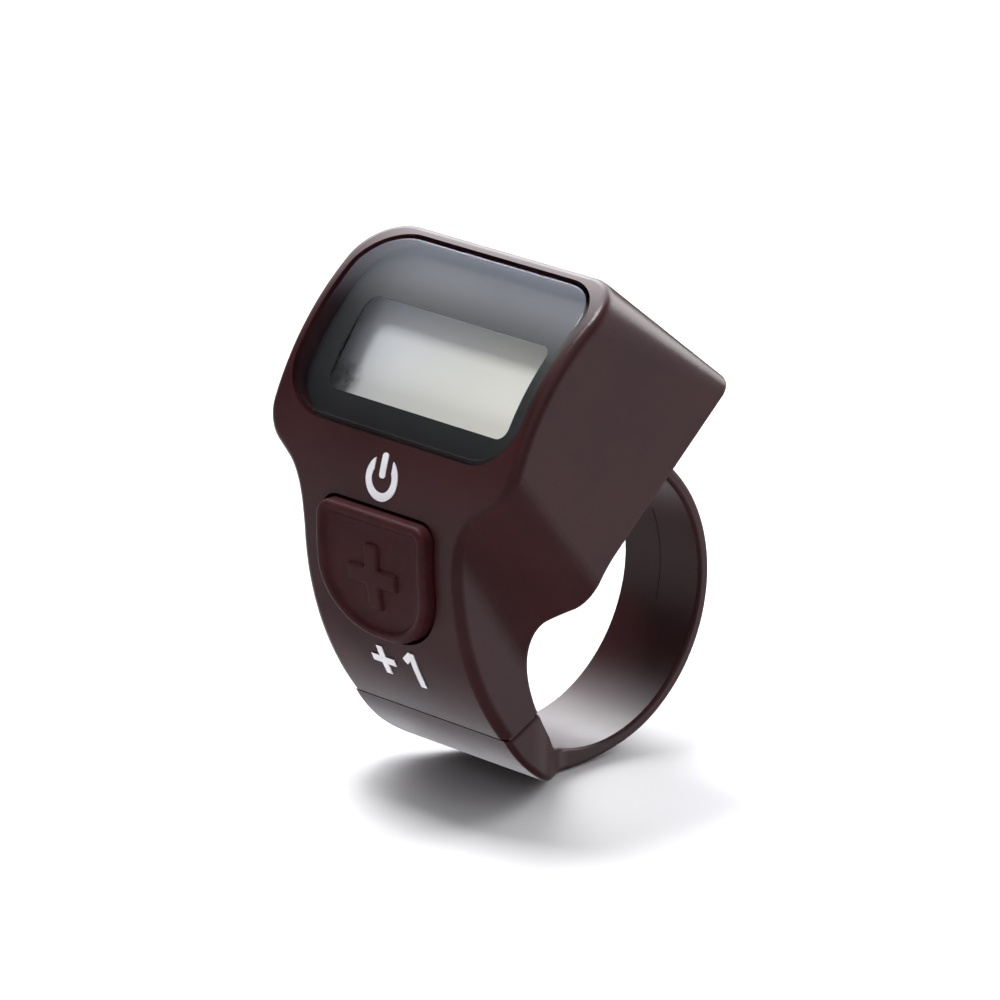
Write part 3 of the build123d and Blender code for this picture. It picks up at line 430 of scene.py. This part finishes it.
def circuit_board(name):
    """Green solder mask with paler traces under it."""
    material, tree, shader = start_material(name)
    place = tree.nodes.new("ShaderNodeTexCoord")
    cells = tree.nodes.new("ShaderNodeTexVoronoi")
    cells.distance = "MANHATTAN"
    cells.feature = "DISTANCE_TO_EDGE"
    cells.inputs["Scale"].default_value = 900
    tree.links.new(place.outputs["Object"], cells.inputs["Vector"])
    trace, mask = (0.05, 0.22, 0.09), (0.01, 0.09, 0.035)
    traces = ramp(tree, cells.outputs["Distance"], trace, mask, 0.04, 0.12)
    tree.links.new(traces.outputs["Color"], shader.inputs["Base Color"])
    weave = noise(tree, 2500)
    tree.links.new(spread(tree, weave.outputs["Fac"], 0.3, 0.42), shader.inputs["Roughness"])
    grain(tree, shader, cells.outputs["Distance"], 0.00002)
    return material


MOULDED = {
    # slot: dark colour, light colour, roughness from and to, other values
    "housing_plastic": (
        (0.034, 0.0078, 0.0092), (0.048, 0.0118, 0.0132), (0.28, 0.36), {"IOR": 1.43},
    ),
    "button_rubber": (
        (0.043, 0.0058, 0.0078), (0.056, 0.0084, 0.0110), (0.48, 0.60),
        {"blotch": 900, "fine": 9000, "height": 0.00001, "IOR": 1.32},
    ),
    "mask_ink": (
        (0.009, 0.0096, 0.0105), (0.012, 0.0128, 0.0140), (0.5, 0.6), {"height": 0.0000005},
    ),
    "adhesive_film": ((0.006, 0.006, 0.006), (0.01, 0.01, 0.01), (0.6, 0.7), {}),
    "inner_moulding": ((0.012, 0.012, 0.013), (0.02, 0.02, 0.021), (0.5, 0.6), {}),
    "contact_rubber": ((0.16, 0.17, 0.18), (0.34, 0.35, 0.37), (0.55, 0.7), {"blotch": 5000}),
    "black_resin": ((0.004, 0.004, 0.004), (0.008, 0.008, 0.008), (0.12, 0.2), {}),
    "ceramic": ((0.30, 0.19, 0.10), (0.40, 0.27, 0.15), (0.45, 0.6), {"blotch": 2500}),
    "flex_film": ((0.42, 0.17, 0.02), (0.55, 0.25, 0.04), (0.25, 0.35), {}),
    "switch_plastic": ((0.010, 0.010, 0.010), (0.016, 0.016, 0.016), (0.4, 0.5), {}),
    "white_ink": ((0.76, 0.76, 0.78), (0.86, 0.86, 0.88), (0.45, 0.55), {"blotch": 900}),
}
METALS = {
    # slot: dark colour, light colour, roughness from and to, how fine the lines are each way
    "reflector_film": ((0.70, 0.72, 0.70), (0.80, 0.81, 0.79), (0.35, 0.45), (1, 1, 1)),
    "plated_steel": ((0.52, 0.51, 0.48), (0.70, 0.69, 0.66), (0.22, 0.34), (1, 1, 1)),
    "cell_can": ((0.58, 0.57, 0.55), (0.72, 0.71, 0.69), (0.2, 0.3), (1, 1, 8)),
    "screw_steel": ((0.20, 0.20, 0.205), (0.34, 0.34, 0.345), (0.3, 0.42), (6, 1, 1)),
}
MATERIALS = {
    "clear_window": window_glass("clear_window"),
    "polarizer_film": film_with_painted_shade("polarizer_film"),
    "display_glass": thin_glass("display_glass"),
    "circuit_board": circuit_board("circuit_board"),
}
for slot, (*values, others) in MOULDED.items():
    MATERIALS[slot] = moulded(slot, *values, **others)
for slot, values in METALS.items():
    MATERIALS[slot] = metal(slot, *values)


def dress(piece, slot):
    """Gives a piece the material of a slot as its only one."""
    piece.data.materials.clear()
    piece.data.materials.append(MATERIALS[slot])


for entry in frame["record"]["subparts"]:
    dress(NODES[entry["node"]], entry["material_slot"])


# ---------------------------------------------------------------- window
def window_outline():
    """Rounded outline of the window, counted from the centre of the face."""
    half_x, half_up = LENS_HALF
    x, up = half_x - LENS_CORNER, half_up - LENS_CORNER
    corners = []
    for sign_x, sign_up, start in ((1, 1, 0), (-1, 1, 90), (-1, -1, 180), (1, -1, 270)):
        centre = (sign_x * x, LENS_UP + sign_up * up)
        last = math.radians(start + 90)
        end_x = centre[0] + LENS_CORNER * math.cos(last)
        end_up = centre[1] + LENS_CORNER * math.sin(last)
        corners.append((corner_points(centre, LENS_CORNER, start, 90, 14), (end_x, end_up)))
    points = []
    for i, (arc, end) in enumerate(corners):
        following = corners[(i + 1) % 4][0]
        points += arc + line_points(end, following[0], 16)
    return points


def make_window():
    """Clear window with a small bevel round its front edge."""
    outline = window_outline()
    centre = (0, LENS_UP)

    def ring(flat, radius):
        return [window_point(x, up, radius) for x, up in flat]

    rings = [ring(shrunk(outline, centre, share), LENS_BACK_R) for share in (0.2, 0.4, 0.6, 0.8)]
    rings.append(ring(outline, LENS_BACK_R))
    rings.append(ring(outline, LENS_FRONT_R - LENS_BEVEL))
    bevel_start, bevel_end = (0, LENS_FRONT_R - LENS_BEVEL), (-LENS_BEVEL, LENS_FRONT_R)
    for margin, radius in round_profile(bevel_start, bevel_end, 4):
        rings.append(ring(moved(outline, margin), radius))
    for step in BEVEL_RINGS:
        inner = moved(outline, -LENS_BEVEL - step)
        rings.append(ring(inner, LENS_FRONT_R))
    for k in range(1, 16):
        rings.append(ring(shrunk(inner, centre, 1 - k / 16), LENS_FRONT_R))
    first = window_point(*centre, LENS_BACK_R)
    last = window_point(*centre, LENS_FRONT_R)
    return ring_piece("window_pane", rings, first, last)


window = make_window()
dress(window, "clear_window")
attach(window, "housing")
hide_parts("lens")


# ---------------------------------------------------------------- button
def three_point_arc(start, middle, end, count):
    """Points of the circle through three points, without its end."""
    ax, ay = start
    bx, by = middle
    cx, cy = end
    d = 2 * (ax * (by - cy) + bx * (cy - ay) + cx * (ay - by))
    a2, b2, c2 = ax * ax + ay * ay, bx * bx + by * by, cx * cx + cy * cy
    x = (a2 * (by - cy) + b2 * (cy - ay) + c2 * (ay - by)) / d
    y = (a2 * (cx - bx) + b2 * (ax - cx) + c2 * (bx - ax)) / d
    begin = math.degrees(math.atan2(ay - y, ax - x))
    finish = math.degrees(math.atan2(cy - y, cx - x))
    sweep = (finish - begin + 180) % 360 - 180
    return corner_points((x, y), math.hypot(ax - x, ay - y), begin, sweep, count)


def button_outline():
    """Shield outline in X and Z, counter-clockwise as seen from the front."""
    half, corner = BUTTON_HALF, BUTTON_CORNER
    straight_top = BUTTON_TOP - corner
    shoulder_x, shoulder_z = BUTTON_SHOULDER
    points = three_point_arc(
        (0, BUTTON_BOTTOM), (shoulder_x, shoulder_z), (half, BUTTON_SIDE_END), 24
    )
    points += line_points((half, BUTTON_SIDE_END), (half, straight_top), 10)
    points += corner_points((half - corner, straight_top), corner, 0, 90, 12)
    points += line_points((half - corner, BUTTON_TOP), (corner - half, BUTTON_TOP), 14)
    points += corner_points((corner - half, straight_top), corner, 90, 90, 12)
    points += line_points((-half, straight_top), (-half, BUTTON_SIDE_END), 10)
    points += three_point_arc(
        (-half, BUTTON_SIDE_END), (-shoulder_x, shoulder_z), (0, BUTTON_BOTTOM), 24
    )
    return points


def front_ring(flat, proud):
    """Ring of points above the front surface."""
    return [front_point(x, z, proud) for x, z in flat]


def make_button():
    """Rubber cap: round-edged border, sunk field."""
    outline = button_outline()
    centre = (0, SIGN_CENTRE)
    side = -BUTTON_DRAWN_IN
    round_start = (side, BUTTON_PROUD - BUTTON_ROUND[1])
    round_end = (side - BUTTON_ROUND[0], BUTTON_PROUD)
    profile = [(side, BUTTON_FOOT), (side, 0.0), round_start]
    profile += round_profile(round_start, round_end, 6)
    profile.append((-BORDER_TOP_END, BUTTON_PROUD))
    slope_heights = (
        BUTTON_PROUD - SLOPE_EASE,
        (BUTTON_PROUD + BUTTON_FIELD) / 2,
        BUTTON_FIELD + SLOPE_EASE,
        BUTTON_FIELD,
    )
    profile += [(-margin, height) for margin, height in zip(BORDER_SLOPE, slope_heights)]
    rings = [front_ring(shrunk(outline, centre, share), BUTTON_FOOT) for share in (0.3, 0.6, 0.9)]
    for margin, proud in profile:
        rings.append(front_ring(moved(outline, margin), proud))
    inner = moved(outline, profile[-1][0])
    for share in (0.85, 0.7, 0.55, 0.4, 0.25, 0.1):
        rings.append(front_ring(shrunk(inner, centre, share), BUTTON_FIELD))
    first = front_point(*centre, BUTTON_FOOT)
    last = front_point(*centre, BUTTON_FIELD)
    return ring_piece("button_cover", rings, first, last)


def plus_outline():
    """Plus sign with small rounds on its ends and in its inner corners."""
    round_r, arm, half = SIGN_ROUND, SIGN_ARM, SIGN_HALF
    points = []
    for quarter in range(4):
        angle = math.radians(90 * quarter)
        turn = (math.cos(angle), math.sin(angle))
        piece = corner_points((half - round_r, arm - round_r), round_r, 0, 90, 5)
        piece += line_points((half - round_r, arm), (arm + round_r, arm), 6)
        piece += corner_points((arm + round_r, arm + round_r), round_r, 270, -90, 5)
        piece += line_points((arm, arm + round_r), (arm, half - round_r), 6)
        piece += corner_points((arm - round_r, half - round_r), round_r, 0, 90, 5)
        for x, z in piece:
            points.append((x * turn[0] - z * turn[1], SIGN_CENTRE + x * turn[1] + z * turn[0]))
    return points


def make_sign():
    """Low plus sign that stands up from the button's field."""
    outline = plus_outline()
    centre = (0, SIGN_CENTRE)
    profile = [(margin, BUTTON_FIELD + height) for margin, height in SIGN_FOOT]
    edge_start = (SIGN_EDGE[0], BUTTON_FIELD + SIGN_EDGE[1])
    profile += round_profile(edge_start, (SIGN_TOP_MARGIN, SIGN_TOP), 5)
    rings = [front_ring(moved(outline, margin), proud) for margin, proud in profile]
    inner = moved(outline, profile[-1][0])
    for share in (0.75, 0.5, 0.25):
        rings.append(front_ring(shrunk(inner, centre, share), SIGN_TOP))
    first = front_point(*centre, profile[0][1])
    last = front_point(*centre, SIGN_TOP)
    return ring_piece("button_sign", rings, first, last)


button = make_button()
dress(button, "button_rubber")
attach(button, "button")
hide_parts("button_cap")

sign = make_sign()
dress(sign, "button_rubber")
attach(sign, "button")


# ---------------------------------------------------------------- switch dome
def make_dome():
    """Thin sprung dome of the press switch, fitted to the box of the switch's dome part; also
    returns the points of its foot and crown.
    """
    low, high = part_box("switch_dome")
    middle_z = (low[2] + high[2]) / 2
    rim_r = (high[0] - low[0]) / 2
    rise = high[1] - low[1]
    outer = (rim_r ** 2 + rise ** 2) / 2 / rise
    ball_y = low[1] + outer

    def ring(radius, share):
        far = math.sqrt(radius ** 2 - (outer - rise) ** 2) * share
        y = ball_y - math.sqrt(radius ** 2 - far ** 2)
        around = corner_points((0, middle_z), far, 0, 360, 40)
        return [Vector((x, y, z)) for x, z in around]

    inner = outer - DOME_SHEET
    shares = [k / 12 for k in range(1, 13)]
    rings = [ring(inner, share) for share in shares]
    rings += [ring(outer, share) for share in reversed(shares)]
    first = Vector((0, ball_y - inner, middle_z))
    last = Vector((0, ball_y - outer, middle_z))
    return ring_piece("dome_spring", rings, first, last), Vector((0, high[1], middle_z)), last


dome, dome_foot, dome_crown = make_dome()
dress(dome, "plated_steel")
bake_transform(dome)
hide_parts("switch_dome")


# ---------------------------------------------------------------- seam tongue
def make_tongue():
    """Tongue that closes the seam between the two housings, set back from their faces."""
    outward = (math.cos(SEAM_ANGLE), math.sin(SEAM_ANGLE))
    across = (-outward[1] * TONGUE_THICK / 2, outward[0] * TONGUE_THICK / 2)
    steps = 16
    rings = []
    for k in range(-steps, steps + 1):
        share = k / steps
        drawn_in = TONGUE_ROUND * abs(share) ** 12
        near, far = TONGUE_REACH[0] + drawn_in, TONGUE_REACH[1] - drawn_in
        ring = []
        for reach, side in ((near, -1), (far, -1), (far, 1), (near, 1)):
            y = outward[0] * reach + across[0] * side
            z = outward[1] * reach + across[1] * side
            ring.append(Vector((TONGUE_HALF * share, y, z)))
        rings.append(ring)
    return ring_piece("seam_tongue", rings)


tongue = make_tongue()
dress(tongue, "housing_plastic")
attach(tongue, "housing")


# ---------------------------------------------------------------- parting ridge
def make_parting():
    """Thin ridge along the inside of the band, sunk into it at its foot and at both ends."""
    start, end = PARTING_ANGLES
    steps = 24
    rings = []
    for k in range(steps + 1):
        angle = math.radians(start + (end - start) * k / steps)
        proud = PARTING_PROUD if 0 < k < steps else -PARTING_PROUD
        ring = []
        inner, outer = BORE_R - proud, BORE_R + PARTING_SUNK
        for side, radius in ((1, inner), (1, outer), (-1, outer), (-1, inner)):
            x = PARTING_X + side * PARTING_HALF
            ring.append(Vector((x, radius * math.cos(angle), radius * math.sin(angle))))
        rings.append(ring)
    return ring_piece("parting_ridge", rings)


parting = make_parting()
dress(parting, "housing_plastic")
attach(parting, "housing")


# ---------------------------------------------------------------- camera
CAMERA_PLACE = Vector((0.34031, -0.32940, 0.16045))
CAMERA_BACK = Vector((0.68873, -0.65587, 0.30902))
CAMERA_LENS = 265.86


def make_camera():
    """Camera at the viewing angle, square to its own direction."""
    data = bpy.data.cameras.new("camera")
    data.lens = CAMERA_LENS
    data.sensor_width = 36
    data.clip_start = 0.01
    camera = bpy.data.objects.new("camera", data)
    camera.location = CAMERA_PLACE
    camera.rotation_euler = (-CAMERA_BACK).to_track_quat("-Z", "Y").to_euler()
    bpy.context.scene.collection.objects.link(camera)
    bpy.context.scene.camera = camera


# ---------------------------------------------------------------- studio
FLOOR_HALF = 2.5
SOFTBOXES = {
    # name: direction from the object, distance, size, brightness
    "overhead": ((-0.22, -0.05, 0.975), 0.60, 0.16, 29.0),
    "left_back": ((-0.69, 0.42, 0.58), 0.50, 0.22, 4.5),
    "top_back": ((0.02, 0.88, 0.45), 0.50, 0.30, 5.0),
}
ROOM = 0.12
GLOWS = {
    # name: direction of the middle, cosines where it starts and is full, brightness
    "upper_left": ((-0.62, 0.45, 0.66), 0.70, 1.02, 3.9),
    "lower_left": ((-0.88, 0.25, -0.40), 0.86, 1.0, 2.0),
    "right_back": ((0.62, 0.78, 0.02), 0.60, 1.0, 0.8),
    "front_left": ((-0.66, -0.68, -0.30), 0.85, 1.0, 0.4),
    "front_right": ((0.35, -0.45, 0.82), 0.74, 1.0, 0.4),
}


def make_softbox(name, direction, distance, size, brightness):
    """Square soft light that faces the object; brightness is its radiance."""
    data = bpy.data.lights.new(name, "AREA")
    data.shape = "SQUARE"
    data.size = size
    data.energy = brightness * math.pi * size ** 2
    light = bpy.data.objects.new(name, data)
    toward = Vector(direction).normalized()
    light.location = toward * distance
    light.rotation_euler = toward.to_track_quat("Z", "Y").to_euler()
    bpy.context.scene.collection.objects.link(light)


def glow(tree, view, direction, start, full, brightness):
    """Brightness that grows smoothly towards a direction."""
    toward = tree.nodes.new("ShaderNodeVectorMath")
    toward.operation = "DOT_PRODUCT"
    toward.inputs[1].default_value = Vector(direction).normalized()
    tree.links.new(view, toward.inputs[0])
    share = tree.nodes.new("ShaderNodeMapRange")
    share.interpolation_type = "SMOOTHSTEP"
    share.inputs["From Min"].default_value = start
    share.inputs["From Max"].default_value = full
    share.inputs["To Max"].default_value = brightness
    tree.links.new(toward.outputs["Value"], share.inputs["Value"])
    return share.outputs["Result"]


def make_world():
    """Dim grey room with soft glows, like large white cards round the object."""
    world = bpy.data.worlds.new("studio")
    bpy.context.scene.world = world
    world.use_nodes = True
    tree = world.node_tree
    place = tree.nodes.new("ShaderNodeTexCoord")
    total = None
    for values in GLOWS.values():
        part = glow(tree, place.outputs["Generated"], *values)
        add = tree.nodes.new("ShaderNodeMath")
        add.operation = "ADD"
        add.inputs[0].default_value = ROOM
        if total:
            tree.links.new(total, add.inputs[0])
        tree.links.new(part, add.inputs[1])
        total = add.outputs["Value"]
    background = tree.nodes["Background"]
    background.inputs["Color"].default_value = (0.95, 0.95, 1.0, 1)
    tree.links.new(total, background.inputs["Strength"])


def make_floor():
    """Plain pale floor under the lowest point of the object."""
    height = CAD_BOX[0][2]
    signs = ((-1, -1), (1, -1), (1, 1), (-1, 1))
    corners = [(x * FLOOR_HALF, y * FLOOR_HALF, height) for x, y in signs]
    mesh = bpy.data.meshes.new("floor")
    mesh.from_pydata(corners, [], [(0, 1, 2, 3)])
    floor = bpy.data.objects.new("floor", mesh)
    bpy.context.scene.collection.objects.link(floor)
    floor.data.materials.append(
        moulded("floor_paper", (0.93, 0.93, 0.93), (0.95, 0.95, 0.95), (0.8, 0.9), 8, 800, 0.00001)
    )
    floor.visible_glossy = False


make_camera()
for softbox, values in SOFTBOXES.items():
    make_softbox(softbox, *values)
make_world()
make_floor()
bpy.context.scene.view_settings.view_transform = "Standard"
